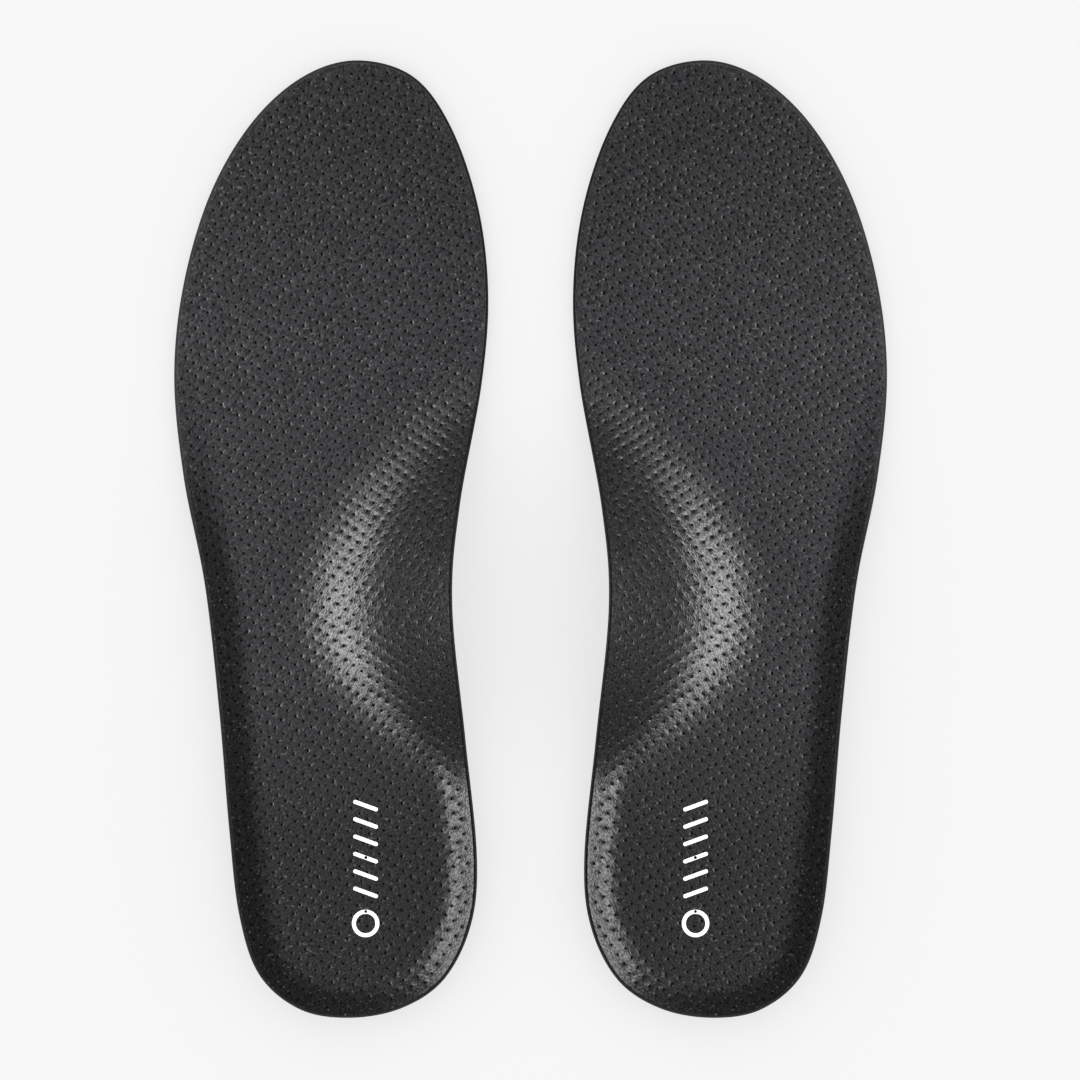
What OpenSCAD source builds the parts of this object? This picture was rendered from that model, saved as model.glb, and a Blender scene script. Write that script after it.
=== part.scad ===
// A pair of cushioned arch-support insoles, in millimetres.
// +Y runs to the toes and +Z is up. X = 0 is half way between the two insoles, Y = 0 is half
// of their length, and Z = 0 is the surface that they lie on.
// Each module draws the right insole's piece, and mirror() gives the left one's.

/* [Insole] */
// Length of one insole, from heel to toe
insole_l = 265; // [240:1:295]
// Widest part of one insole
insole_w = 87; // [79:1:96]
// Space between the pair where they come closest
pair_gap = 23.5; // [16:0.5:40]
// Thickness under the heel
heel_t = 8; // [7:0.5:11]
// Thickness of the forefoot, and of the rim all round
fore_t = 4.8; // [4.5:0.1:5.4]

/* [Support] */
// Rise of the arch's inner edge above the flat
arch_h = 20.5; // [10:0.5:24]
// Width of the arch's slope
arch_w = 46; // [36:1:50]
// Rise of the heel cup's wall on the inner side
inner_cup_h = 3.2; // [2:0.2:6]
// Rise of the heel cup's wall on the outer side
outer_cup_h = 4.8; // [2:0.2:7]
// Width of the heel cup's wall
cup_w = 10.5; // [9:0.5:14]

/* [Layers] */
// Thickness of the fabric cover
cover_t = 0.8; // [0.5:0.1:1]
// Thickness of the comfort foam under the cover
foam_t = 2; // [1.5:0.1:2]
// How far the cover stops short of the rim
cover_inset = 0.6; // [0.3:0.1:1]

/* [Cushions] */
// Diameter of the round heel cushion
heel_pad_d = 34; // [24:1:38]
// Thickness of the heel cushion
heel_pad_t = 3; // [1.5:0.1:3]
// Length of the forefoot cushion, across the foot
fore_pad_l = 46; // [36:1:50]
// Width of the forefoot cushion, along the foot
fore_pad_w = 25; // [16:1:26]
// Thickness of the forefoot cushion
fore_pad_t = 1.2; // [0.8:0.1:1.2]
// Space between a cushion and the wall of its recess
pad_clear = 0.15; // [0.1:0.05:0.3]

/* [Flex] */
// Where the forefoot bends, from the middle of the length
flex_y = 52; // [46:1:56]
// Space between the halves of each layer at the bend
flex_gap = 0.3; // [0.2:0.1:0.6]

/* [Print] */
// Diameter of the ring in the heel's printed mark
mark_ring_d = 7.6; // [6:0.2:9]
// Number of slanted bars in the mark
mark_bars = 6; // [3:1:6]
// Width of the mark's lines
mark_line = 1.1; // [0.8:0.1:1.4]
// Thickness of the printed ink
ink_t = 0.12; // [0.1:0.02:0.2]

/* [Hidden] */
$fn = 64;

// The right insole's outline was drawn at this size and is scaled to the one above.
// Its X is measured from the insole's inner side, and its points run from the heel's end
// round the outer side to the toe and back along the inner side.
drawn_l = 265;
drawn_w = 87;
outline_points = [
    [38.8, -132.5], [52.3, -130], [63.3, -120.5], [68.8, -104], [71.6, -80], [74.3, -48],
    [78.3, -13], [84.3, 17], [87, 45], [84.3, 71], [76.8, 96], [65.3, 115.5], [51.3, 128],
    [36.3, 132.5], [20.8, 128], [10.3, 114], [2.8, 92], [0, 68], [1.8, 43], [7.8, 9],
    [9.8, -18], [6.3, -55], [3.1, -88], [4.8, -107], [12.3, -122], [24.3, -130]
];
toe_point = 13;
curve_steps = 5;

sx = insole_w / drawn_w;
sy = insole_l / drawn_l;
half_l = insole_l / 2;
inner_x = pair_gap / 2;
end_flat = 0.15;

// Places on the drawn outline: the middle of the heel, of the forefoot cushion and of the
// printed ring. The forefoot cushion's Y is its distance in front of the bend instead.
heel_at = [36.8, -92];
fore_pad_at = [43, 5.5];
mark_at = [33.9, -106.5];
heel_x = inner_x + heel_at[0] * sx;
heel_y = heel_at[1] * sy;
fore_pad_x = inner_x + fore_pad_at[0] * sx;
fore_pad_y = flex_y * sy + fore_pad_at[1] + fore_pad_w / 2;
mark_x = inner_x + mark_at[0] * sx;
mark_y = mark_at[1] * sy;

// The arch is highest at arch_y and runs this far to the front and to the rear of it,
// on the drawn outline's own length
arch_y = -22;
arch_front = 82;
arch_rear = 57;
// Where each change along the length starts and ends, on the drawn outline's own length
thinning = [-60, 45];
inner_cup_fall = [-85, -25];
outer_cup_fall = [-20, 48];
// The cup's rim changes from the inner height to the outer one across this width
heel_turn = 30;
// How much of each slope's width is its curved foot
arch_foot = 0.64;
cup_foot = 0.55;
// The underside's slopes are as wide as the top's, times this
under_share = 0.72;
// Space between the arch support and the base
glue_t = 0.15;

// Rows across the insole and columns along it
rear_rows = 28;
front_rows = 12;
columns = 18;
wedge_rows = 16;

module right() { children(); }
module left() { mirror([1, 0, 0]) children(); }

// ---- Curves ----

// A Catmull-Rom curve between b and c at u from 0 to 1
function curve(a, b, c, d, u) =
    b + (c - a) * u / 2 + (a - 2.5 * b + 2 * c - 0.5 * d) * u * u
    + (1.5 * (b - c) + 0.5 * (d - a)) * u * u * u;

// The closed curve's points from control point first to control point last
function curve_points(p, first, last) = [
    for (i = [first:last - 1], s = [0:curve_steps - 1])
        curve(p[(i + len(p) - 1) % len(p)], p[i % len(p)], p[(i + 1) % len(p)],
            p[(i + 2) % len(p)], s / curve_steps),
    p[last % len(p)]
];

function reversed(p) = [for (i = [len(p) - 1:-1:0]) p[i]];

// A smooth step from 0 to 1 as t goes from 0 to 1, and as y goes along a span
function step(t) = (1 - cos(180 * max(0, min(1, t)))) / 2;
function along(y, span) = step((y / sy - span[0]) / (span[1] - span[0]));

// Distance from point p to the line a-b, and to a chain of points
function line_distance(p, a, b) =
    let (u = max(0, min(1, (p - a) * (b - a) / ((b - a) * (b - a)))))
    norm(p - a - u * (b - a));
function chain_distance(p, chain) =
    min([for (i = [0:len(chain) - 2]) line_distance(p, chain[i], chain[i + 1])]);

placed_points = [for (p = outline_points) [inner_x + p[0] * sx, p[1] * sy]];
outer_side = curve_points(placed_points, 0, toe_point);
inner_side = reversed(curve_points(placed_points, toe_point, len(placed_points)));
outer_x_at = [for (p = outer_side) [p[1], p[0]]];
inner_x_at = [for (p = inner_side) [p[1], p[0]]];

// ---- Surfaces ----

function edge_y(y) = max(end_flat - half_l, min(half_l - end_flat, y));
function outer_x(y) = lookup(edge_y(y), outer_x_at);
function inner_edge_x(y) = lookup(edge_y(y), inner_x_at);

function flat_top(y) = heel_t + (fore_t - heel_t) * along(y, thinning);

// The arch's width along the insole, from 0 to 1. Its height goes with the cube of this.
function arch(y) =
    max(0, 1 - pow((y / sy - arch_y) / (y / sy > arch_y ? arch_front : arch_rear), 2));

// Height of a slope at a distance d from its top, straight with a curved foot
function slope(h, w, d, foot) =
    let (t = w > 0 ? max(0, 1 - d / w) : 0)
    h * (t < foot ? t * t / foot : 2 * t - foot) / (2 - foot);

// Height of the heel cup's rim, which fades out towards the front on each side
function cup_h(x, y) =
    let (
        inner = inner_cup_h * (1 - along(y, inner_cup_fall)),
        outer = outer_cup_h * (1 - along(y, outer_cup_fall))
    )
    inner + (outer - inner) * step(0.5 + (x - heel_x) / heel_turn);

// How far the top and the underside rise above the flat. The underside rises by the heel's
// extra thickness too, which leaves the rim as thick as the forefoot.
function rise(x, y, under) =
    let (
        d = chain_distance([x, y], inner_side),
        share = sx * (under ? under_share : 1),
        lift = under ? flat_top(y) - fore_t : 0
    )
    slope(arch_h * pow(arch(y), 3), share * arch_w * arch(y), d, arch_foot)
    + slope(lift + cup_h(x, y), share * cup_w, min(d, chain_distance([x, y], outer_side)),
        cup_foot);
function top_z(x, y) = flat_top(y) + rise(x, y, false);
function under_z(x, y) = rise(x, y, true);

// ---- The grid that the layers share ----

rear_end = flex_y * sy - flex_gap / 2;
front_start = flex_y * sy + flex_gap / 2;
rear_ys = [
    for (j = [0:rear_rows]) rear_end - (rear_end + half_l) * cos(90 * j / rear_rows)
];
front_ys = reversed([
    for (j = [0:front_rows]) front_start + (half_l - front_start) * cos(90 * j / front_rows)
]);
function row_xs(y) =
    let (a = inner_edge_x(y), b = outer_x(y), w = b - a - 2 * cover_inset)
    [a, for (i = [0:columns - 2]) a + cover_inset + w * step(i / (columns - 2)), b];
function sheet(ys) = [for (y = reversed(ys)) [for (x = row_xs(y)) [x, y, top_z(x, y)]]];
function underside(ys) = [for (y = reversed(ys)) [for (x = row_xs(y)) [x, y, under_z(x, y)]]];
function lowered(grid, by) = [for (row = grid) [for (p = row) [p[0], p[1], p[2] - by]]];

// The grid without its outermost columns, and without the row at the insole's own end
function trimmed(grid, skip_first, skip_last) = [
    for (j = [skip_first:len(grid) - 1 - skip_last])
        [for (i = [1:len(grid[j]) - 2]) grid[j][i]]
];

// A closed solid between an upper and a lower grid of points, whose rows run from +Y to -Y
module slab(upper, lower) {
    rows = len(upper);
    cols = len(upper[0]);
    points = [for (row = upper, p = row) p, for (row = lower, p = row) p];
    below = rows * cols;
    tops = [
        for (j = [0:rows - 2], i = [0:cols - 2])
            let (k = j * cols + i)
            each [[k, k + 1, k + cols + 1], [k, k + cols + 1, k + cols]]
    ];
    bottoms = [for (t = tops) [below + t[2], below + t[1], below + t[0]]];
    rim = [
        for (i = [0:cols - 1]) i,
        for (j = [1:rows - 1]) j * cols + cols - 1,
        for (i = [cols - 2:-1:0]) (rows - 1) * cols + i,
        for (j = [rows - 2:-1:1]) j * cols
    ];
    walls = [
        for (n = [0:len(rim) - 1])
            let (a = rim[n], b = rim[(n + 1) % len(rim)])
            each [[a, below + b, b], [a, below + a, below + b]]
    ];
    polyhedron(points = points, faces = concat(tops, bottoms, walls));
}

// ---- The pieces of one insole ----

module top_cover(ys, skip_first, skip_last) {
    upper = trimmed(sheet(ys), skip_first, skip_last);
    color([0.2, 0.2, 0.21]) slab(upper, lowered(upper, cover_t));
}
module top_cover_rear() { top_cover(rear_ys, 0, 1); }
module top_cover_front() { top_cover(front_ys, 1, 0); }

module comfort_foam(ys) {
    upper = lowered(sheet(ys), cover_t);
    color([0.28, 0.29, 0.3]) slab(upper, lowered(upper, foam_t));
}
module comfort_foam_rear() { comfort_foam(rear_ys); }
module comfort_foam_front() { comfort_foam(front_ys); }

module base_body(ys) {
    color([0.1, 0.13, 0.12]) slab(lowered(sheet(ys), cover_t + foam_t), underside(ys));
}

// Each half of the base has a recess in its underside that a cushion is glued into
module base_rear() {
    difference() {
        base_body(rear_ys);
        translate([heel_x, heel_y, -1]) cylinder(h = 1 + heel_pad_t, d = heel_pad_d);
    }
}
module base_front() {
    difference() {
        base_body(front_ys);
        translate([fore_pad_x, fore_pad_y, -1])
            linear_extrude(1 + fore_pad_t) oblong(fore_pad_l, fore_pad_w);
    }
}

// A rectangle with round ends, across the foot
module oblong(l, w) {
    square([l - w, w], center = true);
    for (side = [-1, 1]) translate([side * (l - w) / 2, 0]) circle(d = w);
}

// The firm wedge that fills the space under the raised arch. From above it is a crescent:
// its outer face is close to the rim half way along and runs in to a narrow tip at both ends.
wedge_start = -56 * sy;
wedge_end = 28 * sy;
wedge_edge = 1.5;
wedge_tip = 1.5;
wedge_reach = 0.72;
function wedge_inner_d(y, reach) =
    let (t = 2 * (y - wedge_start) / (wedge_end - wedge_start) - 1)
    wedge_edge + (reach - wedge_tip - wedge_edge) * pow(abs(t), 3);
function wedge_d(y, at_reach) =
    let (reach = wedge_reach * under_share * sx * arch_w * arch(y))
    at_reach ? reach : wedge_inner_d(y, reach);
function wedge_side(at_reach) = [
    for (j = [0:wedge_rows])
        let (y = wedge_start + (wedge_end - wedge_start) * j / wedge_rows)
        [inner_edge_x(y) + wedge_d(y, at_reach), y]
];
module arch_support() {
    // More than the arch's height, so that the slab under the base reaches below the ground
    depth = arch_h + heel_t + outer_cup_h;
    under = underside(rear_ys);
    color([0.24, 0.26, 0.25]) intersection() {
        linear_extrude(depth) polygon(concat(wedge_side(true), reversed(wedge_side(false))));
        slab(lowered(under, glue_t), lowered(under, depth));
    }
}

module heel_pad() {
    color([0.15, 0.55, 0.3]) translate([heel_x, heel_y, 0])
        cylinder(h = heel_pad_t - pad_clear, d = heel_pad_d - 2 * pad_clear);
}
module forefoot_pad() {
    color([0.15, 0.55, 0.3]) translate([fore_pad_x, fore_pad_y, 0])
        linear_extrude(fore_pad_t - pad_clear)
            oblong(fore_pad_l - 2 * pad_clear, fore_pad_w - 2 * pad_clear);
}

// A plain ring and a row of slanted bars, read along the foot
mark_pitch = 4.8;
bar_l = 7.2;
bar_slant = 20;
module bar() {
    hull() for (end = [-1, 1]) translate([end * (bar_l - mark_line) / 2, 0])
        circle(d = mark_line, $fn = 24);
}
module heel_print() {
    color("white") translate([mark_x, mark_y, heel_t]) linear_extrude(ink_t) {
        difference() {
            circle(d = mark_ring_d);
            circle(d = mark_ring_d - 2 * mark_line);
        }
        for (i = [1:mark_bars])
            translate([0, mark_ring_d / 2 + mark_pitch * i]) rotate(bar_slant) bar();
    }
}

right() top_cover_rear();  // right_top_cover_rear
right() top_cover_front();  // right_top_cover_front
right() comfort_foam_rear();  // right_comfort_foam_rear
right() comfort_foam_front();  // right_comfort_foam_front
right() base_rear();  // right_base_rear
right() base_front();  // right_base_front
right() arch_support();  // right_arch_support
right() heel_pad();  // right_heel_pad
right() forefoot_pad();  // right_forefoot_pad
right() heel_print();  // right_heel_print
left() top_cover_rear();  // left_top_cover_rear
left() top_cover_front();  // left_top_cover_front
left() comfort_foam_rear();  // left_comfort_foam_rear
left() comfort_foam_front();  // left_comfort_foam_front
left() base_rear();  // left_base_rear
left() base_front();  // left_base_front
left() arch_support();  // left_arch_support
left() heel_pad();  // left_heel_pad
left() forefoot_pad();  // left_forefoot_pad
left() heel_print();  // left_heel_print
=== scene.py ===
"""Looks for a pair of cushioned insoles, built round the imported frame.

Shapes are worked out in millimetres for the right insole and scaled to metres when a mesh is
made. The left insole is the right one with X turned round.
"""

import math

import bpy
import numpy as np
from mathutils.geometry import delaunay_2d_cdt
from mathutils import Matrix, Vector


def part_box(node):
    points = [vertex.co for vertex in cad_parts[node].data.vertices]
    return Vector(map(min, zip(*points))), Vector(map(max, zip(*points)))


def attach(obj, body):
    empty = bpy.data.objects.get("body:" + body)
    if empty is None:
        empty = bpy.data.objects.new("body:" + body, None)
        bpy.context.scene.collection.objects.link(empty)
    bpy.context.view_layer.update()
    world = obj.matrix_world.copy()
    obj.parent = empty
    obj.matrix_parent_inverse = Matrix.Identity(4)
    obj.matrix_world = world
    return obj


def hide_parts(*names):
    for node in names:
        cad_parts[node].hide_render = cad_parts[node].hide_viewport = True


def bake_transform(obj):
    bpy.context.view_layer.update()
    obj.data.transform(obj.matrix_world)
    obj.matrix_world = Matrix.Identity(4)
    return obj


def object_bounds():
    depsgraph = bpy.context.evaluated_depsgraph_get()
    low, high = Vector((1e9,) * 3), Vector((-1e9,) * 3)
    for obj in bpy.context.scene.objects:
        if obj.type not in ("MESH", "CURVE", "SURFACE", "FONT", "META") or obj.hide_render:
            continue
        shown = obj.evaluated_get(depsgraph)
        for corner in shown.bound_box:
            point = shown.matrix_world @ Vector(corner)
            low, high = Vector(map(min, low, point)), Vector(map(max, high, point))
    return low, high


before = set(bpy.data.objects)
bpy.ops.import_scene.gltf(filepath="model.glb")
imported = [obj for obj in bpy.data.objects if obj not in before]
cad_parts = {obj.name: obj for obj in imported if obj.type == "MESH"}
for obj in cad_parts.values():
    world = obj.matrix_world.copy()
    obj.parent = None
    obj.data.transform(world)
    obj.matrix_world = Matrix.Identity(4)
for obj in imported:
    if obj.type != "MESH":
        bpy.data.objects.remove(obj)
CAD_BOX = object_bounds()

MM = 0.001
RNG = np.random.default_rng(7)


def box_mm(node):
    """A CAD node's lowest and highest corner, in mm."""
    return [np.array(corner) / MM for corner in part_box(node)]


# ---- The insole's shape, as the CAD model has it, in mm ----

HEEL_PAD = box_mm("right_heel_pad")
FORE_PAD = box_mm("right_forefoot_pad")
HEEL_X = (HEEL_PAD[0][0] + HEEL_PAD[1][0]) / 2
# How far the heel's middle is from the insole's inner side
HEEL_FROM_INNER = 36.8
INNER_X = HEEL_X - HEEL_FROM_INNER
HALF_L = CAD_BOX[1].y / MM
# Thickness under the heel, at the forefoot and the rim, of the cover and of the comfort foam
HEEL_T = 8.0
FORE_T = 4.8
COVER_T = 0.8
FOAM_T = 2.0
# How far the cover stops short of the rim
COVER_INSET = 0.6
# Each slope has a height, a width and the share of its width that is its curved foot
ARCH_H = 20.5
ARCH_W = 46.0
ARCH_FOOT = 0.64
INNER_CUP_H = 3.2
OUTER_CUP_H = 4.8
CUP_W = 10.5
CUP_FOOT = 0.55
# The cup's rim changes from the inner height to the outer one across this width
HEEL_TURN = 30.0
# The underside's slopes are as wide as the top's, times this
UNDER_SHARE = 0.72
# The arch is highest at ARCH_Y and runs this far to the front and to the rear of it
ARCH_Y = -22
ARCH_FRONT = 82
ARCH_REAR = 57
# Where each change along the length starts and ends
THINNING = (-60, 45)
INNER_CUP_FALL = (-85, -25)
OUTER_CUP_FALL = (-20, 48)

# The outline's points from the heel's end round the outer side to the toe and back
OUTLINE = np.array([
    [38.8, -132.5], [52.3, -130], [63.3, -120.5], [68.8, -104], [71.6, -80], [74.3, -48],
    [78.3, -13], [84.3, 17], [87, 45], [84.3, 71], [76.8, 96], [65.3, 115.5], [51.3, 128],
    [36.3, 132.5], [20.8, 128], [10.3, 114], [2.8, 92], [0, 68], [1.8, 43], [7.8, 9],
    [9.8, -18], [6.3, -55], [3.1, -88], [4.8, -107], [12.3, -122], [24.3, -130],
]) + [INNER_X, 0]
TOE_POINT = 13
CURVE_STEPS = 24
# The least width that a slope is divided by, for where it has run out
LEAST_W = 1e-6


def curve(p):
    """The closed Catmull-Rom curve through the points p."""
    a, b, c, d = (np.roll(p, k, 0)[:, None] for k in (1, 0, -1, -2))
    u = (np.arange(CURVE_STEPS) / CURVE_STEPS)[None, :, None]
    points = (
        b + (c - a) * u / 2 + (a - 2.5 * b + 2 * c - 0.5 * d) * u**2
        + (1.5 * (b - c) + 0.5 * (d - a)) * u**3
    )
    return points.reshape(-1, 2)


EDGE = curve(OUTLINE)
OUTER_SIDE = EDGE[: TOE_POINT * CURVE_STEPS + 1]
INNER_SIDE = np.vstack([EDGE[TOE_POINT * CURVE_STEPS :], EDGE[:1]])


def step(t):
    return (1 - np.cos(np.pi * np.clip(t, 0, 1))) / 2


def along(y, span):
    return step((y - span[0]) / (span[1] - span[0]))


def distance(points, chain):
    """How far each point is from a chain of points."""
    best = np.full(len(points), np.inf)
    for a, b in zip(chain[:-1], chain[1:]):
        ab = b - a
        u = np.clip((points - a) @ ab / (ab @ ab), 0, 1)
        best = np.minimum(best, np.linalg.norm(points - a - u[:, None] * ab, axis=1))
    return best


def flat_top(y):
    return HEEL_T + (FORE_T - HEEL_T) * along(y, THINNING)


def arch(y):
    """The arch's width along the insole, from 0 to 1. Its height goes with the cube of this."""
    reach = np.where(y > ARCH_Y, ARCH_FRONT, ARCH_REAR)
    return np.clip(1 - ((y - ARCH_Y) / reach) ** 2, 0, 1)


def slope(h, w, d, foot):
    """A slope's height at a distance d from its top: straight, with a curved foot."""
    t = np.clip(1 - d / np.maximum(w, LEAST_W), 0, None)
    curved = t**2 / (foot * (2 - foot))
    straight = (2 * t - foot) / (2 - foot)
    return h * np.where(t < foot, curved, straight)


def cup_h(points):
    """The height of the heel cup's rim, which fades out to the front on each side."""
    x, y = points.T
    inner = INNER_CUP_H * (1 - along(y, INNER_CUP_FALL))
    outer = OUTER_CUP_H * (1 - along(y, OUTER_CUP_FALL))
    return inner + (outer - inner) * step(0.5 + (x - HEEL_X) / HEEL_TURN)


def rise(points, under):
    """How far the top, or the underside, is above the flat."""
    y = points[:, 1]
    to_inner, to_outer = distance(points, INNER_SIDE), distance(points, OUTER_SIDE)
    lift = flat_top(y) - FORE_T if under else 0
    share = UNDER_SHARE if under else 1
    arch_h, arch_w = ARCH_H * arch(y) ** 3, share * ARCH_W * arch(y)
    return slope(arch_h, arch_w, to_inner, ARCH_FOOT) + slope(
        lift + cup_h(points), share * CUP_W, np.minimum(to_inner, to_outer), CUP_FOOT
    )


def top_z(points):
    return flat_top(points[:, 1]) + rise(points, False)


def under_z(points):
    return rise(points, True)


# ---- Mesh helpers ----

# The rows of a triangular grid are this share of its pitch apart
ROW_SHARE = 0.866
# Points closer than this count as one, and faces at a greater angle keep a sharp edge
SAME_POINT = 1e-6
SHARP_ANGLE = math.radians(40)


def closed(loop):
    """The loop as a chain that ends where it starts."""
    return np.vstack([loop, loop[:1]])


def inset(loop, by):
    """The closed loop moved inwards. The loop runs counter-clockwise."""
    ahead = np.roll(loop, -1, 0) - np.roll(loop, 1, 0)
    ahead = ahead / np.linalg.norm(ahead, axis=1)[:, None]
    return loop + by * np.stack([-ahead[:, 1], ahead[:, 0]], 1)


def inside(loop, points):
    """Which points lie inside the closed loop."""
    hit = np.zeros(len(points), bool)
    for a, b in zip(loop, np.roll(loop, -1, 0)):
        if a[1] == b[1]:
            continue
        crosses = (a[1] > points[:, 1]) != (b[1] > points[:, 1])
        x = a[0] + (points[:, 1] - a[1]) * (b[0] - a[0]) / (b[1] - a[1])
        hit ^= crosses & (points[:, 0] < x)
    return hit


def circle(centre, r, sides, turn=0.0):
    angles = turn + np.arange(sides) * 2 * math.pi / sides
    return np.array(centre) + r * np.stack([np.cos(angles), np.sin(angles)], 1)


def grid(loop, pitch, margin):
    """Points on a triangular grid, at least margin inside the loop."""
    low, high = loop.min(0), loop.max(0)
    rows = np.arange(low[1], high[1], pitch * ROW_SHARE)
    points = np.array([
        [x + pitch / 2 * (j % 2), y]
        for j, y in enumerate(rows) for x in np.arange(low[0], high[0], pitch)
    ])
    points = points[inside(loop, points)]
    return points[distance(points, closed(loop)) > margin]


def triangles(loops, points=None, holes=None):
    """Triangulates between loops[0], the outer one, and the hole loops.

    Returns the 2-D points, in the order loops, points, holes, and the triangles. The other
    loops are edges that the triangles keep to. holes has the shape (count, sides, 2).
    """
    parts = list(loops) + ([] if points is None else [points])
    hole_start = sum(map(len, parts))
    sides = 0
    if holes is not None and len(holes):
        sides = holes.shape[1]
        parts.append(holes.reshape(-1, 2))
    everything = np.vstack(parts)
    edges, start = [], 0
    for loop in loops:
        ids = start + np.arange(len(loop))
        edges += list(zip(ids, np.roll(ids, -1)))
        start += len(loop)
    if sides:
        ids = hole_start + np.arange(len(everything) - hole_start).reshape(-1, sides)
        edges += list(zip(ids.ravel(), np.roll(ids, -1, 1).ravel()))
    found = delaunay_2d_cdt(
        [tuple(p) for p in everything], [tuple(map(int, e)) for e in edges], [], 0, SAME_POINT,
        False,
    )
    if len(found[0]) != len(everything):
        raise RuntimeError("the outline, points or holes of a layer cross each other")
    faces = np.array(found[2])
    if sides:
        owner = np.full(len(everything), -1)
        owner[hole_start:] = np.arange(len(everything) - hole_start) // sides
        three = owner[faces]
        in_hole = (three[:, 0] >= 0) & (three == three[:, :1]).all(1)
        faces = faces[~in_hole]
    on_edge = (faces < len(loops[0])).all(1)
    outside = np.zeros(len(faces), bool)
    centres = everything[faces[on_edge]].mean(1)
    outside[on_edge] = ~inside(loops[0], centres)
    return everything, faces[~outside]


class Shell:
    """A piece's vertices and faces, gathered part by part."""

    def __init__(self):
        self.points, self.faces, self.count = [], [], 0

    def add(self, flat, z):
        """Adds points at the heights z and returns their numbers."""
        z = np.broadcast_to(np.asarray(z, float), len(flat))
        self.points.append(np.column_stack([flat, z]))
        self.count += len(flat)
        return np.arange(self.count - len(flat), self.count)

    def skin(self, ids, faces, upwards=True):
        self.faces += ids[faces if upwards else faces[:, ::-1]].tolist()

    def wall(self, upper, lower, outwards=True):
        """Joins two closed counter-clockwise loops, or many at once, the upper above."""
        next_upper, next_lower = np.roll(upper, -1, -1), np.roll(lower, -1, -1)
        quads = np.stack([lower, next_lower, next_upper, upper], -1).reshape(-1, 4)
        self.faces += (quads if outwards else quads[:, ::-1]).tolist()

    def build(self, name, mirrored):
        """Makes the Blender object, in metres."""
        points = np.vstack(self.points) * MM
        faces = self.faces
        if mirrored:
            points = points * [-1, 1, 1]
            faces = [f[::-1] for f in faces]
        mesh = bpy.data.meshes.new(name)
        mesh.from_pydata(points.tolist(), [], faces)
        mesh.validate()
        mesh.shade_smooth()
        mesh.set_sharp_from_angle(angle=SHARP_ANGLE)
        piece = bpy.data.objects.new(name, mesh)
        bpy.context.scene.collection.objects.link(piece)
        return piece


def rounding(d, r):
    """How far a rounded edge of radius r has dropped at a distance d from it."""
    t = np.clip(1 - d / r, 0, 1)
    return r * (1 - np.sqrt(1 - t**2))


# ---- The perforated cover ----

HOLE_R = 0.41
HOLE_SIDES = 8
# No two holes are quite alike: their sizes, as shares of HOLE_R, and how far each has moved
HOLE_SIZES = (0.92, 1.08)
HOLE_JITTER = 0.07
# The fabric dips towards each hole, from this radius and by one of these depths
DIMPLE_R = 0.72
DIMPLE_DEPTHS = (0.03, 0.12)
# The slanted lattice that the holes lie on: its two steps, the X of its middle and how many
# steps it goes each way
LATTICE_A = np.array([2.215, 1.385])
LATTICE_B = np.array([1.66, -2.215])
LATTICE_X = 40
LATTICE_REACH = 110
# It grows looser behind this place, with the square of the distance
STRETCH_FROM = 60
STRETCH = 0.0005
# How far holes, and the points between them, keep from the cover's edge
EDGE_MARGIN = 1.45
POINT_MARGIN = 1.15
# How far inside the edge the loops are that carry its rounding
COVER_LOOPS = (0.35, 0.9)
COVER_EDGE_R = 0.5


def lattice():
    """The centres of the perforations, looser towards the heel where the fabric is drawn."""
    reach = np.arange(-LATTICE_REACH, LATTICE_REACH + 1)
    i, j = (n.ravel() for n in np.meshgrid(reach, reach))
    points = i[:, None] * LATTICE_A + j[:, None] * LATTICE_B + [INNER_X + LATTICE_X, 0]
    points[:, 1] -= STRETCH * np.maximum(STRETCH_FROM - points[:, 1], 0) ** 2
    low, high = EDGE.min(0), EDGE.max(0)
    return points[((points > low) & (points < high)).all(1)]


COVER_EDGE = inset(EDGE, COVER_INSET)


def within_cover(points, margin):
    points = points[inside(COVER_EDGE, points)]
    return points[distance(points, closed(COVER_EDGE)) > margin]


CELLS = lattice()
HOLES = within_cover(CELLS, EDGE_MARGIN)
HOLES = HOLES + RNG.uniform(-HOLE_JITTER, HOLE_JITTER, HOLES.shape)
HOLE_RADII = HOLE_R * RNG.uniform(*HOLE_SIZES, len(HOLES))
TURNS = RNG.uniform(0, 2 * math.pi / HOLE_SIDES, len(HOLES))
DEPTHS = RNG.uniform(*DIMPLE_DEPTHS, len(HOLES))


def rings(scale, add=0.0):
    """A ring of points round every hole, at scale times its radius plus add."""
    return np.array([
        circle(c, r * scale + add, HOLE_SIDES, t) for c, r, t in zip(HOLES, HOLE_RADII, TURNS)
    ])


def cover_top_z(points):
    return top_z(points) - rounding(distance(points, closed(COVER_EDGE)), COVER_EDGE_R)


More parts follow.
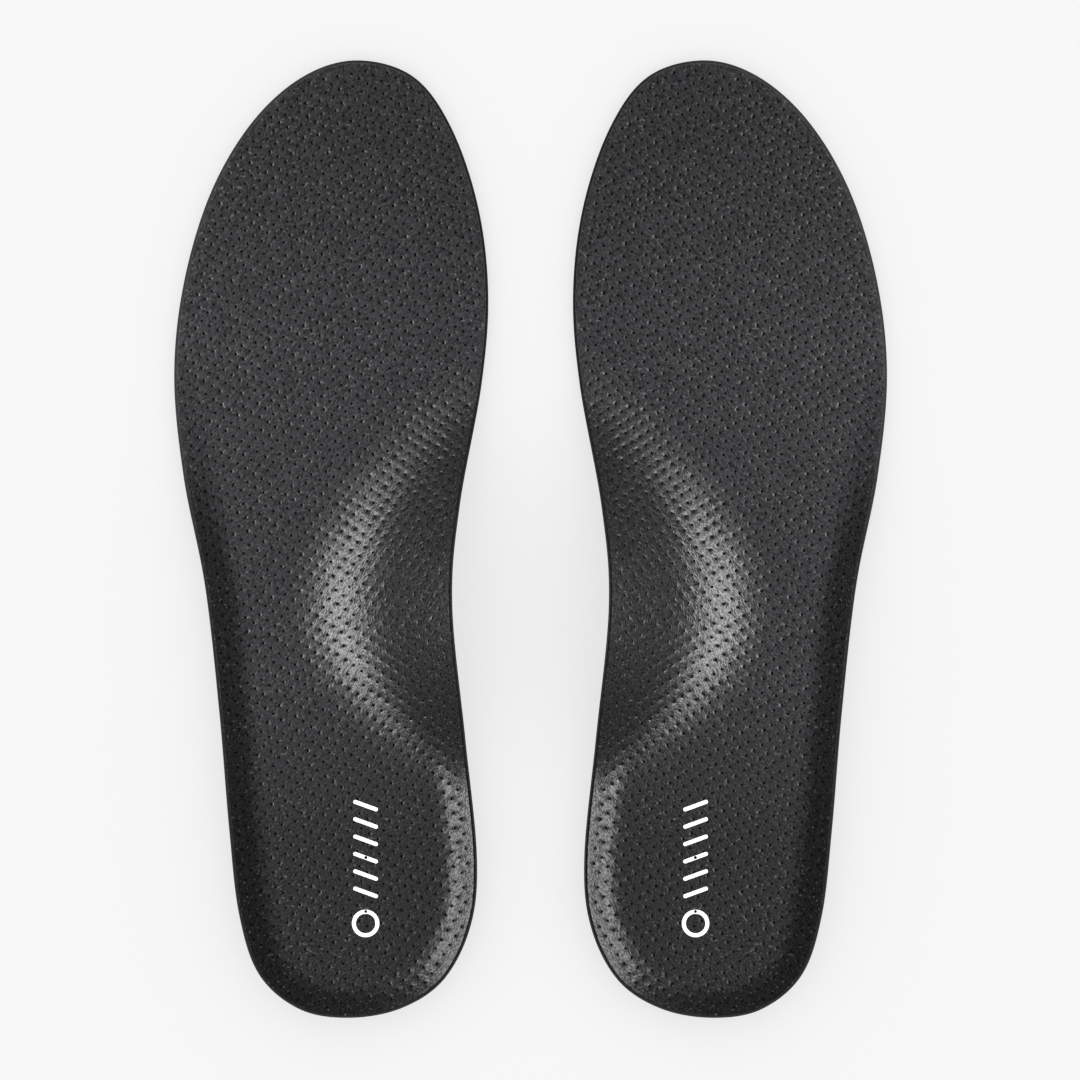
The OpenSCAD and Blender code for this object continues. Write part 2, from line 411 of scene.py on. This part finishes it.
def make_cover(side):
    """One sheet with real holes, a dimple round each and a rounded edge."""
    shell = Shell()
    between = within_cover(CELLS + (LATTICE_A + LATTICE_B) / 2, POINT_MARGIN)
    beside = within_cover(
        np.vstack([CELLS + LATTICE_A / 2, CELLS + LATTICE_B / 2]), POINT_MARGIN
    )
    holes, dimples = rings(1), rings(0, DIMPLE_R)
    loops = [COVER_EDGE] + [inset(COVER_EDGE, by) for by in COVER_LOOPS]
    inner = np.vstack([between, beside, dimples.reshape(-1, 2)])
    flat, faces = triangles(loops, inner, holes)
    z = cover_top_z(flat)
    holes_start = len(flat) - holes.size // 2
    z[holes_start:] -= np.repeat(DEPTHS, HOLE_SIDES)
    top = shell.add(flat, z)
    shell.skin(top, faces)

    flat, faces = triangles(loops[:1], between, holes)
    bottom = shell.add(flat, top_z(flat) - COVER_T)
    shell.skin(bottom, faces, upwards=False)
    edge = len(COVER_EDGE)
    shell.wall(top[:edge], bottom[:edge])
    hole_shape = (-1, HOLE_SIDES)
    shell.wall(
        top[holes_start:].reshape(hole_shape),
        bottom[len(flat) - holes.size // 2 :].reshape(hole_shape),
        outwards=False,
    )
    return shell.build(f"{side}_top_cover", side == "left")


# ---- The foam layers ----

# How far inside the outline the loops are that carry the rounded edges
ROUND_LOOPS = (0.06, 0.2, 0.45, 0.8, 1.3, 2.2)
# How far apart a layer's inner points are, and how far they keep from the loops
LAYER_PITCH = 2.6
POINT_CLEAR = 1.0
# Radius of each layer's upper edge and of its lower one
FOAM_EDGE_R = 0.45
FOAM_FOOT_R = 0.3
BASE_EDGE_R = 0.3
BASE_FOOT_R = 1.2
LAYER_LOOPS = [EDGE] + [inset(EDGE, by) for by in ROUND_LOOPS]
LAYER_POINTS = grid(EDGE, LAYER_PITCH, ROUND_LOOPS[-1] + POINT_CLEAR)


def make_comfort_foam(side):
    shell = Shell()
    flat, faces = triangles(LAYER_LOOPS, LAYER_POINTS)
    d = distance(flat, closed(EDGE))
    z = top_z(flat) - COVER_T
    top = shell.add(flat, z - rounding(d, FOAM_EDGE_R))
    bottom = shell.add(flat, z - FOAM_T + rounding(d, FOAM_FOOT_R))
    shell.skin(top, faces)
    shell.skin(bottom, faces, upwards=False)
    edge = len(EDGE)
    shell.wall(top[:edge], bottom[:edge])
    return shell.build(f"{side}_comfort_foam", side == "left")


# Space between a cushion and its recess, how far the walls lean in, and the outline's sides
RECESS_CLEAR = 0.15
RECESS_DRAFT = 0.02
RECESS_SIDES = 64


def oblong(low, high, out=0.0):
    """A rectangle with round ends across the foot, that fills the box, grown by out."""
    centre, half = (low + high)[:2] / 2, (high - low)[:2] / 2
    r = half[1]
    ring = circle((0, 0), r + out, RECESS_SIDES, math.pi / RECESS_SIDES)
    shift = np.sign(ring[:, :1]) * [[half[0] - r, 0]]
    return centre + ring + shift


def recess(shell, rim, flat_rim, ceiling):
    """Walls and ceiling of a recess in the underside, up from the rim's vertices."""
    inner = inset(flat_rim, RECESS_DRAFT)
    flat, faces = triangles([inner], grid(inner, LAYER_PITCH, LAYER_PITCH / 2))
    roof = shell.add(flat, ceiling)
    shell.skin(roof, faces, upwards=False)
    shell.wall(roof[: len(inner)], rim, outwards=False)


def make_base(side):
    """The moulded body, with a recess in its underside for each cushion."""
    shell = Shell()
    flat, faces = triangles(LAYER_LOOPS, LAYER_POINTS)
    d = distance(flat, closed(EDGE))
    top = shell.add(flat, top_z(flat) - COVER_T - FOAM_T - rounding(d, BASE_EDGE_R))
    shell.skin(top, faces)

    heel_rim = oblong(*HEEL_PAD, out=RECESS_CLEAR)
    fore_rim = oblong(*FORE_PAD, out=RECESS_CLEAR)
    rims = np.array([heel_rim, fore_rim])
    clear = LAYER_POINTS
    for rim in rims:
        clear = clear[~inside(rim, clear) & (distance(clear, closed(rim)) > POINT_CLEAR)]
    flat, faces = triangles(LAYER_LOOPS, clear, rims)
    d = distance(flat, closed(EDGE))
    bottom = shell.add(flat, under_z(flat) + rounding(d, BASE_FOOT_R))
    shell.skin(bottom, faces, upwards=False)
    shell.wall(top[: len(EDGE)], bottom[: len(EDGE)])
    rim_ids = bottom[len(flat) - rims.size // 2 :].reshape(2, -1)
    ceilings = (HEEL_PAD[1][2] + RECESS_CLEAR, FORE_PAD[1][2] + RECESS_CLEAR)
    for ids, rim, ceiling in zip(rim_ids, rims, ceilings):
        recess(shell, ids, rim, ceiling)
    return shell.build(f"{side}_base", side == "left")


# ---- The arch support, the cushions and the print ----

# The wedge runs along this span. Half way along, its outer face is WEDGE_EDGE inside the rim.
# It reaches in over this share of the slope above it, and its tips are WEDGE_TIP wide.
WEDGE_SPAN = (-56, 28)
WEDGE_EDGE = 1.5
WEDGE_REACH = 0.72
WEDGE_TIP = 1.5
GLUE_T = 0.15
WEDGE_ROWS = 96
WEDGE_COLUMNS = 28
# Its columns crowd towards the outer face by this power. That face's upper edge has this
# radius, and drops by no more than this share of the height.
WEDGE_CROWDING = 1.6
WEDGE_ROUND = 0.6
WEDGE_ROUND_MOST = 0.4


def wedge_grid():
    """Upper and lower points of the crescent wedge, row by row from the toe end."""
    y = np.linspace(WEDGE_SPAN[1], WEDGE_SPAN[0], WEDGE_ROWS + 1)
    reach = WEDGE_REACH * UNDER_SHARE * ARCH_W * arch(y)
    t = 2 * (y - WEDGE_SPAN[0]) / (WEDGE_SPAN[1] - WEDGE_SPAN[0]) - 1
    start = WEDGE_EDGE + (reach - WEDGE_TIP - WEDGE_EDGE) * np.abs(t) ** 3
    edge_x = np.interp(y, INNER_SIDE[::-1, 1], INNER_SIDE[::-1, 0])
    share = np.linspace(0, 1, WEDGE_COLUMNS + 1) ** WEDGE_CROWDING
    x = edge_x[:, None] + start[:, None] + (reach - start)[:, None] * share
    flat = np.stack([x, np.broadcast_to(y[:, None], x.shape)], -1)
    z = under_z(flat.reshape(-1, 2)).reshape(x.shape) - GLUE_T
    from_face = (reach - start)[:, None] * share
    z = z - np.minimum(rounding(from_face, WEDGE_ROUND), z * WEDGE_ROUND_MOST)
    return flat, z


def make_arch_support(side):
    shell = Shell()
    flat, z = wedge_grid()
    rows, cols = z.shape
    upper = shell.add(flat.reshape(-1, 2), z.ravel()).reshape(rows, cols)
    lower = shell.add(flat.reshape(-1, 2), 0).reshape(rows, cols)
    for ids, upwards in ((upper, True), (lower, False)):
        quads = np.stack([ids[1:, :-1], ids[1:, 1:], ids[:-1, 1:], ids[:-1, :-1]], -1)
        quads = quads.reshape(-1, 4)
        shell.faces += (quads if upwards else quads[:, ::-1]).tolist()
    rims = [
        np.concatenate([ids[-1, :-1], ids[::-1, -1][:-1], ids[0, ::-1][:-1], ids[:-1, 0]])
        for ids in (upper, lower)
    ]
    shell.wall(*rims)
    return shell.build(f"{side}_arch_support_wedge", side == "left")


PAD_ROUND = 0.35
PAD_LOOPS = (0.08, 0.2, 0.4)
PAD_PITCH = 1.0
GROOVE_DEPTH = 0.45
GROOVE_PITCH = 3.4


def make_pad(side, name, low, high, loops, groove):
    """A gel cushion, with the inner points on loops, or else on a grid.

    groove(points) is from 0 to 1, the depth of its moulded grooves.
    """
    shell = Shell()
    edge = oblong(low, high)
    rims = [edge] + [inset(edge, by) for by in PAD_LOOPS]
    points = None if loops else grid(edge, PAD_PITCH, PAD_PITCH)
    flat, faces = triangles(rims + loops, points)
    d = distance(flat, closed(edge))
    top = shell.add(flat, high[2] - rounding(d, PAD_ROUND))
    under = rounding(d, PAD_ROUND) + GROOVE_DEPTH * groove(flat)
    bottom = shell.add(flat, low[2] + under)
    shell.skin(top, faces)
    shell.skin(bottom, faces, upwards=False)
    shell.wall(top[: len(edge)], bottom[: len(edge)])
    return shell.build(f"{side}_{name}", side == "left")


def wave(distance_along):
    """Grooves from 0 to 1, GROOVE_PITCH apart, with flat land between them."""
    return np.clip(np.cos(2 * math.pi * distance_along / GROOVE_PITCH), 0, 1) ** 2


# The heel cushion's ring grooves: the outermost is this far inside the edge, and none is
# nearer to it than the margin
RING_FROM_EDGE = 2.2
RING_MARGIN = 1.2
# The circles of points that carry them, from just inside the edge to the middle
RING_LOOPS_FROM_EDGE = 0.9
RING_LOOPS_LEAST_R = 0.4
RING_LOOP_PITCH = 0.42


def heel_loops():
    """Circles close enough together to carry the ring grooves."""
    edge = oblong(*HEEL_PAD)
    centre = edge.mean(0)
    r = np.linalg.norm(edge - centre, axis=1).max()
    radii = np.arange(r - RING_LOOPS_FROM_EDGE, RING_LOOPS_LEAST_R, -RING_LOOP_PITCH)
    return [circle(centre, q, RECESS_SIDES) for q in radii]


def heel_groove(flat):
    centre = (HEEL_PAD[0] + HEEL_PAD[1])[:2] / 2
    r = np.linalg.norm(flat - centre, axis=1)
    edge = (HEEL_PAD[1] - HEEL_PAD[0])[0] / 2
    return wave(edge - RING_FROM_EDGE - r) * (r < edge - RING_MARGIN)


# The forefoot cushion's straight grooves fade out between these distances from its edge
FORE_GROOVE_FADE = (1.0, 2.5)


def fore_groove(flat):
    centre = (FORE_PAD[0] + FORE_PAD[1])[:2] / 2
    d = distance(flat, closed(oblong(*FORE_PAD)))
    return wave(flat[:, 1] - centre[1]) * along(d, FORE_GROOVE_FADE)


MARK_RING_D = 7.6
MARK_BARS = 6
MARK_LINE = 1.1
MARK_PITCH = 4.8
BAR_L = 7.2
BAR_SLANT = math.radians(20)
MARK_RING_SIDES = 64
BAR_SIDES = 24
# The ink's thickness, and the gap that keeps it off the fabric
INK_T = 0.12
INK_GAP = 0.01
# The ink is open where a perforation is at least this far inside a line's edge, and its
# opening is this much wider than the perforation
INK_MARGIN = 0.06
INK_HOLE_GROWTH = 0.03
PRINT_BOX = box_mm("right_heel_print")
MARK_X = (PRINT_BOX[0][0] + PRINT_BOX[1][0]) / 2
MARK_Y = PRINT_BOX[0][1] + MARK_RING_D / 2


def bar_outline(centre):
    """One slanted bar with round ends."""
    ring = circle((0, 0), MARK_LINE / 2, BAR_SIDES, math.pi / BAR_SIDES)
    ring = ring + np.sign(ring[:, :1]) * [[(BAR_L - MARK_LINE) / 2, 0]]
    c, s = math.cos(BAR_SLANT), math.sin(BAR_SLANT)
    return centre + ring @ np.array([[c, s], [-s, c]])


def make_print(side):
    """The ring and bars, open where a perforation lies wholly inside a line."""
    shell = Shell()
    centre = np.array([MARK_X, MARK_Y])
    outlines = [circle(centre, MARK_RING_D / 2, MARK_RING_SIDES)]
    outlines += [
        bar_outline(centre + [0, MARK_RING_D / 2 + MARK_PITCH * (i + 1)])
        for i in range(MARK_BARS)
    ]
    ring_hole = circle(centre, MARK_RING_D / 2 - MARK_LINE, MARK_RING_SIDES)
    keep_off = HOLE_R + INK_MARGIN
    for n, outline in enumerate(outlines):
        near = inside(outline, HOLES) & (distance(HOLES, closed(outline)) > keep_off)
        if n == 0:
            near &= ~inside(ring_hole, HOLES)
            near &= distance(HOLES, closed(ring_hole)) > keep_off
        small = rings(1, INK_HOLE_GROWTH)[near]
        loops = [outline] + ([ring_hole] if n == 0 else [])
        flat, faces = triangles(loops, None, small if len(small) else None)
        if n == 0:
            faces = faces[~inside(ring_hole, flat[faces].mean(1))]
        z = top_z(flat)
        top, bottom = shell.add(flat, z + INK_T), shell.add(flat, z + INK_GAP)
        shell.skin(top, faces)
        shell.skin(bottom, faces, upwards=False)
        shell.wall(top[: len(outline)], bottom[: len(outline)])
        if n == 0:
            ids = slice(len(outline), len(outline) + len(ring_hole))
            shell.wall(top[ids], bottom[ids], outwards=False)
        if len(small):
            shape = (-1, HOLE_SIDES)
            shell.wall(
                top[-small.size // 2 :].reshape(shape),
                bottom[-small.size // 2 :].reshape(shape),
                outwards=False,
            )
    return shell.build(f"{side}_heel_mark", side == "left")


# ---- Materials ----

# The stretch of noise values that spread() maps
NOISE_MIDDLE = (0.3, 0.7)


def new_material(name):
    """A material, its nodes, its links and its shader."""
    m = bpy.data.materials.new(name)
    m.use_nodes = True
    return m, m.node_tree.nodes, m.node_tree.links, m.node_tree.nodes["Principled BSDF"]


def even_coordinates(nodes, links):
    """Object coordinates with X made positive, so the left insole mirrors the right."""
    coords = nodes.new("ShaderNodeTexCoord")
    apart = nodes.new("ShaderNodeSeparateXYZ")
    whole = nodes.new("ShaderNodeMath")
    whole.operation = "ABSOLUTE"
    together = nodes.new("ShaderNodeCombineXYZ")
    links.new(coords.outputs["Object"], apart.inputs[0])
    links.new(apart.outputs["X"], whole.inputs[0])
    links.new(whole.outputs[0], together.inputs["X"])
    links.new(apart.outputs["Y"], together.inputs["Y"])
    links.new(apart.outputs["Z"], together.inputs["Z"])
    return together.outputs[0]


def noise(nodes, links, vector, size_mm, detail, drawn=1.0, turn=0.0):
    """Noise with features about size_mm across, drawn out along a direction in the plan."""
    mapping = nodes.new("ShaderNodeMapping")
    mapping.vector_type = "TEXTURE"
    mapping.inputs["Rotation"].default_value = (0, 0, turn)
    mapping.inputs["Scale"].default_value = (drawn, 1, 1)
    texture = nodes.new("ShaderNodeTexNoise")
    texture.inputs["Scale"].default_value = 1 / (size_mm * MM)
    texture.inputs["Detail"].default_value = detail
    links.new(vector, mapping.inputs["Vector"])
    links.new(mapping.outputs[0], texture.inputs["Vector"])
    return texture.outputs["Fac"]


def grey(value):
    return (value, value, value)


def ramp(nodes, links, fac, stops):
    """A colour ramp of (position, colour) stops. A new ramp has two elements."""
    node = nodes.new("ShaderNodeValToRGB")
    elements = node.color_ramp.elements
    for at, _ in stops[2:]:
        elements.new(at)
    for element, (at, colour) in zip(elements, stops):
        element.position = at
        element.color = (*colour, 1)
    links.new(fac, node.inputs["Fac"])
    return node.outputs["Color"]


def mix(nodes, links, kind, a, b):
    """Mixes two sockets' colours. Inputs 6 and 7 and output 2 are the node's colour ones."""
    node = nodes.new("ShaderNodeMix")
    node.data_type = "RGBA"
    node.blend_type = kind
    node.inputs[0].default_value = 1.0
    links.new(a, node.inputs[6])
    links.new(b, node.inputs[7])
    return node.outputs[2]


def spread(nodes, links, fac, low, high):
    """Maps noise from its middle range to low..high."""
    node = nodes.new("ShaderNodeMapRange")
    node.inputs["From Min"].default_value = NOISE_MIDDLE[0]
    node.inputs["From Max"].default_value = NOISE_MIDDLE[1]
    node.inputs["To Min"].default_value = low
    node.inputs["To Max"].default_value = high
    links.new(fac, node.inputs["Value"])
    return node.outputs[0]


def times(nodes, links, a, b):
    """The product of two sockets."""
    node = nodes.new("ShaderNodeMath")
    node.operation = "MULTIPLY"
    links.new(a, node.inputs[0])
    links.new(b, node.inputs[1])
    return node.outputs[0]


def along_length(nodes, links, at, stops):
    """A grey ramp of (share of the insole's length from the heel, value) stops."""
    apart = nodes.new("ShaderNodeSeparateXYZ")
    share = nodes.new("ShaderNodeMapRange")
    share.inputs["From Min"].default_value = -HALF_L * MM
    share.inputs["From Max"].default_value = HALF_L * MM
    links.new(at, apart.inputs[0])
    links.new(apart.outputs["Y"], share.inputs["Value"])
    return ramp(nodes, links, share.outputs[0], [(s, grey(v)) for s, v in stops])


def bump(nodes, links, shader, height, depth_mm):
    """Gives the shader relief, depth_mm deep where height is 1."""
    node = nodes.new("ShaderNodeBump")
    node.inputs["Distance"].default_value = depth_mm * MM
    links.new(height, node.inputs["Height"])
    links.new(node.outputs[0], shader.inputs["Normal"])


# The stitches' size in mm, how far they are drawn out and which way, and their relief
YARN_MM = 0.5
YARN_DRAWN = 1.7
YARN_TURN = math.radians(-58)
YARN_RELIEF = 0.08
# The size of the loose light threads, and of the clouding of colour and gloss
SPECK_MM = 0.75
CLOUD_MM = 22
# Colours by the noise's value
YARN_COLOURS = [
    (0.36, (0.0045, 0.0045, 0.0047)), (0.5, (0.0085, 0.0085, 0.0089)),
    (0.64, (0.0135, 0.0135, 0.014)),
]
SPECK_COLOURS = [(0.68, grey(0)), (0.78, grey(0.05))]
CLOUD_COLOURS = [(0.35, (0.94, 0.94, 0.97)), (0.65, (1.0, 0.975, 1.0))]
# Painted shade: the fabric's colour and shine are made darker on the heel's seat and at the
# toe, for light that falls off towards both ends
FABRIC_PAINTED_SHADE = [(0, 0.68), (0.17, 0.68), (0.36, 1), (0.72, 1), (0.92, 0.78)]
# The yarn's shine and the clouds' roughness, from the noise's low values to its high ones
FABRIC_SHINE = (0.13, 0.48)
FABRIC_ROUGHNESS = (0.33, 0.29)
FABRIC_SHEEN = 0.02
FABRIC_SHEEN_ROUGHNESS = 0.5


def fabric_material():
    """Black knitted fabric: drawn-out stitches, loose light specks, and painted shade on the
    heel's seat and at the toe.
    """
    m, nodes, links, shader = new_material("knitted_cover")
    at = even_coordinates(nodes, links)
    yarn = noise(nodes, links, at, YARN_MM, 2.0, YARN_DRAWN, YARN_TURN)
    speck = noise(nodes, links, at, SPECK_MM, 0.5)
    cloud = noise(nodes, links, at, CLOUD_MM, 2)
    grain = ramp(nodes, links, yarn, YARN_COLOURS)
    specks = ramp(nodes, links, speck, SPECK_COLOURS)
    tint = ramp(nodes, links, cloud, CLOUD_COLOURS)
    # Painted shade, darker on the heel's seat and at the toe
    shade = along_length(nodes, links, at, FABRIC_PAINTED_SHADE)
    toned = mix(nodes, links, "MULTIPLY", grain, tint)
    toned = mix(nodes, links, "MULTIPLY", toned, shade)
    links.new(mix(nodes, links, "ADD", toned, specks), shader.inputs["Base Color"])
    # The painted shade dims the shine as well
    shine = times(nodes, links, spread(nodes, links, yarn, *FABRIC_SHINE), shade)
    links.new(shine, shader.inputs["Specular IOR Level"])
    links.new(spread(nodes, links, cloud, *FABRIC_ROUGHNESS), shader.inputs["Roughness"])
    shader.inputs["Sheen Weight"].default_value = FABRIC_SHEEN
    shader.inputs["Sheen Roughness"].default_value = FABRIC_SHEEN_ROUGHNESS
    bump(nodes, links, shader, yarn, YARN_RELIEF)
    return m


# The size of a foam's clouding, and its shades by the noise's value
FOAM_CLOUD_MM = 12
FOAM_SHADES = [(0.3, grey(0.85)), (0.7, grey(1))]
# The roughness goes this far to each side of its middle
FOAM_ROUGHNESS_SPREAD = 0.05
FOAM_SHINE = 0.35
# A foam's pits are this share of a cell deep. Their darker colour is painted shade, which
# reaches the rim's colour at this distance
PIT_DEPTH = 0.15
PIT_RIM = 0.6


def foam_material(name, painted_pit_shade, light, cell_mm, roughness):
    """Fine-celled foam: small pits in a matte surface, with painted shade in the pits."""
    m, nodes, links, shader = new_material(name)
    at = even_coordinates(nodes, links)
    cells = nodes.new("ShaderNodeTexVoronoi")
    cells.inputs["Scale"].default_value = 1 / (cell_mm * MM)
    links.new(at, cells.inputs["Vector"])
    cloud = noise(nodes, links, at, FOAM_CLOUD_MM, 3)
    # Painted shade: each pit darkens towards its middle
    colour = ramp(nodes, links, cells.outputs["Distance"], [(0.0, painted_pit_shade), (PIT_RIM, light)])
    shade = ramp(nodes, links, cloud, FOAM_SHADES)
    links.new(mix(nodes, links, "MULTIPLY", colour, shade), shader.inputs["Base Color"])
    low, high = roughness - FOAM_ROUGHNESS_SPREAD, roughness + FOAM_ROUGHNESS_SPREAD
    links.new(spread(nodes, links, cloud, low, high), shader.inputs["Roughness"])
    shader.inputs["Specular IOR Level"].default_value = FOAM_SHINE
    bump(nodes, links, shader, cells.outputs["Distance"], cell_mm * PIT_DEPTH)
    return m


GEL_CLOUD_MM = 5
GEL_GRAIN_MM = 0.4
GEL_RELIEF = 0.02
GEL_COLOURS = [(0.3, (0.015, 0.17, 0.06)), (0.7, (0.03, 0.25, 0.09))]
GEL_ROUGHNESS = (0.28, 0.4)
GEL_SUBSURFACE = 0.25
GEL_SUBSURFACE_RADII = (0.001, 0.002, 0.001)


def gel_material():
    """Cloudy gel that light goes a little way into."""
    m, nodes, links, shader = new_material("soft_gel")
    at = even_coordinates(nodes, links)
    cloud = noise(nodes, links, at, GEL_CLOUD_MM, 3)
    links.new(ramp(nodes, links, cloud, GEL_COLOURS), shader.inputs["Base Color"])
    links.new(spread(nodes, links, cloud, *GEL_ROUGHNESS), shader.inputs["Roughness"])
    shader.inputs["Subsurface Weight"].default_value = GEL_SUBSURFACE
    shader.inputs["Subsurface Radius"].default_value = GEL_SUBSURFACE_RADII
    bump(nodes, links, shader, noise(nodes, links, at, GEL_GRAIN_MM, 2), GEL_RELIEF)
    return m


INK_GRAIN_MM = 0.5
INK_RELIEF = 0.04
INK_COLOURS = [(0.3, grey(0.62)), (0.6, grey(0.86))]
INK_ROUGHNESS = (0.5, 0.65)


def ink_material():
    """White ink with a fine grain, like that of the fabric under it."""
    m, nodes, links, shader = new_material("white_ink")
    at = even_coordinates(nodes, links)
    grain = noise(nodes, links, at, INK_GRAIN_MM, 3)
    links.new(ramp(nodes, links, grain, INK_COLOURS), shader.inputs["Base Color"])
    links.new(spread(nodes, links, grain, *INK_ROUGHNESS), shader.inputs["Roughness"])
    bump(nodes, links, shader, grain, INK_RELIEF)
    return m


FLOOR_COLOUR = (0.93, 0.93, 0.93, 1)
FLOOR_ROUGHNESS = 0.9
FLOOR_SHINE = 0.1


def floor_material():
    m, _, _, shader = new_material("pale_floor")
    shader.inputs["Base Color"].default_value = FLOOR_COLOUR
    shader.inputs["Roughness"].default_value = FLOOR_ROUGHNESS
    shader.inputs["Specular IOR Level"].default_value = FLOOR_SHINE
    return m


# ---- The pieces ----

# Each record slot's material. A foam's values are its dark colour, painted shade for the pits,
# and its light colour, the size of its cells in mm and its roughness.
MATERIALS = {
    "cover_fabric": fabric_material(),
    "comfort_foam": foam_material(
        "open_foam", (0.004, 0.004, 0.0045), (0.013, 0.013, 0.014), 0.45, 0.85),
    "base_foam": foam_material(
        "moulded_foam", (0.003, 0.006, 0.0045), (0.007, 0.012, 0.0095), 0.6, 0.6),
    "support_foam": foam_material(
        "firm_foam", (0.009, 0.010, 0.0095), (0.026, 0.029, 0.027), 0.8, 0.7),
    "gel": gel_material(),
    "print_ink": ink_material(),
}


def finish_piece(piece, slot_name, *nodes):
    """Gives the piece the slot's material, in place of the CAD nodes."""
    piece.data.materials.append(MATERIALS[slot_name])
    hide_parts(*nodes)
    return piece


def flexes(piece):
    """Bakes the piece's transform into its mesh."""
    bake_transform(piece)


def make_insole(side):
    """Makes one insole's pieces, and attaches the wedge, the heel cushion and the mark to the
    rear body.
    """
    rear = f"{side}_rear"
    cover = finish_piece(make_cover(side), "cover_fabric",
                         f"{side}_top_cover_rear", f"{side}_top_cover_front")
    foam = finish_piece(make_comfort_foam(side), "comfort_foam",
                        f"{side}_comfort_foam_rear", f"{side}_comfort_foam_front")
    base = finish_piece(make_base(side), "base_foam", f"{side}_base_rear", f"{side}_base_front")
    wedge = finish_piece(make_arch_support(side), "support_foam", f"{side}_arch_support")
    heel = finish_piece(make_pad(side, "heel_cushion", *HEEL_PAD, heel_loops(), heel_groove),
                        "gel", f"{side}_heel_pad")
    fore = finish_piece(make_pad(side, "forefoot_cushion", *FORE_PAD, [], fore_groove),
                        "gel", f"{side}_forefoot_pad")
    mark = finish_piece(make_print(side), "print_ink", f"{side}_heel_print")
    for piece in (cover, foam, base, fore):
        flexes(piece)
    for piece in (wedge, heel, mark):
        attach(piece, rear)
    return [cover, foam, base, wedge, heel, fore, mark]


insoles = {side: make_insole(side) for side in ("left", "right")}


# ---- Floor, lights and camera ----

# Half the floor's width, and how far it is below the insoles, in metres
FLOOR_HALF = 3.0
FLOOR_DROP = 0.0002
# The camera looks straight down on VIEW_X, VIEW_Y, and sees VIEW_W across at VIEW_Z
VIEW_W = 0.299
VIEW_X = 0.0026
VIEW_Y = -0.0004
VIEW_Z = 0.006
LENS = 400
SENSOR = 36


def make_floor():
    corners = [(-1, -1), (1, -1), (1, 1), (-1, 1)]
    mesh = bpy.data.meshes.new("floor")
    mesh.from_pydata([(x * FLOOR_HALF, y * FLOOR_HALF, -FLOOR_DROP) for x, y in corners], [],
                     [(0, 1, 2, 3)])
    floor = bpy.data.objects.new("floor", mesh)
    bpy.context.scene.collection.objects.link(floor)
    mesh.materials.append(floor_material())
    return floor


def collection(name, pieces):
    group = bpy.data.collections.new(name)
    for piece in pieces:
        group.objects.link(piece)
    return group


def area_light(name, place, target, size, power, receivers, blockers=None):
    """A soft light that looks at target and lights the receivers alone.

    If blockers are given, they alone cast shadows in it.
    """
    data = bpy.data.lights.new(name, "AREA")
    data.shape = "RECTANGLE"
    data.size, data.size_y = size
    data.energy = power
    light = bpy.data.objects.new(name, data)
    light.location = place
    back = light.location - type(light.location)(target)
    light.rotation_euler = back.to_track_quat("Z", "Y").to_euler()
    bpy.context.scene.collection.objects.link(light)
    light.light_linking.receiver_collection = collection(f"{name}_receivers", receivers)
    if blockers is not None:
        light.light_linking.blocker_collection = collection(f"{name}_blockers", blockers)
    return light


# Places and sizes are in metres and powers in watts
WORLD_STRENGTH = 0.3
OVERHEAD_Z = 2.2
SOFT_LIGHT_SIZE = (2.6, 2.6)
OVERHEAD_POWER = 18.5
OVERHEAD_COLOUR = (0.97, 0.97, 1.06)
FLOOR_LIGHT_Z = 2.4
FLOOR_LIGHT_POWER = 56
# A narrow light beyond each insole's outer side looks at its arch, at this angle to the
# vertical and from this far. SIDE_AT is the place on the right insole.
SIDE_ANGLE = math.radians(37)
SIDE_FAR = 1.2
SIDE_AT = (0.052, -0.030, 0.012)
SIDE_SIZE = (1.1, 0.1)
SIDE_POWER = 26


def light_scene(floor):
    """Lights the insoles from above and from each outer side, and the floor on its own."""
    world = bpy.data.worlds.new("studio")
    bpy.context.scene.world = world
    world.use_nodes = True
    background = world.node_tree.nodes["Background"]
    background.inputs["Color"].default_value = (1, 1, 1, 1)
    background.inputs["Strength"].default_value = WORLD_STRENGTH
    overhead = area_light("overhead", (0, 0, OVERHEAD_Z), (0, 0, 0), SOFT_LIGHT_SIZE,
                          OVERHEAD_POWER, insoles["left"] + insoles["right"])
    overhead.data.color = OVERHEAD_COLOUR
    area_light("floor_light", (0, 0, FLOOR_LIGHT_Z), (0, 0, 0), SOFT_LIGHT_SIZE,
               FLOOR_LIGHT_POWER, [floor], [floor])
    for side, sign in (("right", 1), ("left", -1)):
        x, y, z = SIDE_AT
        place = (
            sign * (x + SIDE_FAR * math.sin(SIDE_ANGLE)), y, z + SIDE_FAR * math.cos(SIDE_ANGLE)
        )
        area_light(f"{side}_side_light", place, (sign * x, y, z), SIDE_SIZE, SIDE_POWER,
                   insoles[side])


def make_camera():
    data = bpy.data.cameras.new("camera")
    data.sensor_width = SENSOR
    data.lens = LENS
    camera = bpy.data.objects.new("camera", data)
    camera.location = (VIEW_X, VIEW_Y, VIEW_Z + VIEW_W * LENS / SENSOR)
    bpy.context.scene.collection.objects.link(camera)
    bpy.context.scene.camera = camera


light_scene(make_floor())
make_camera()
bpy.context.scene.view_settings.view_transform = "Standard"
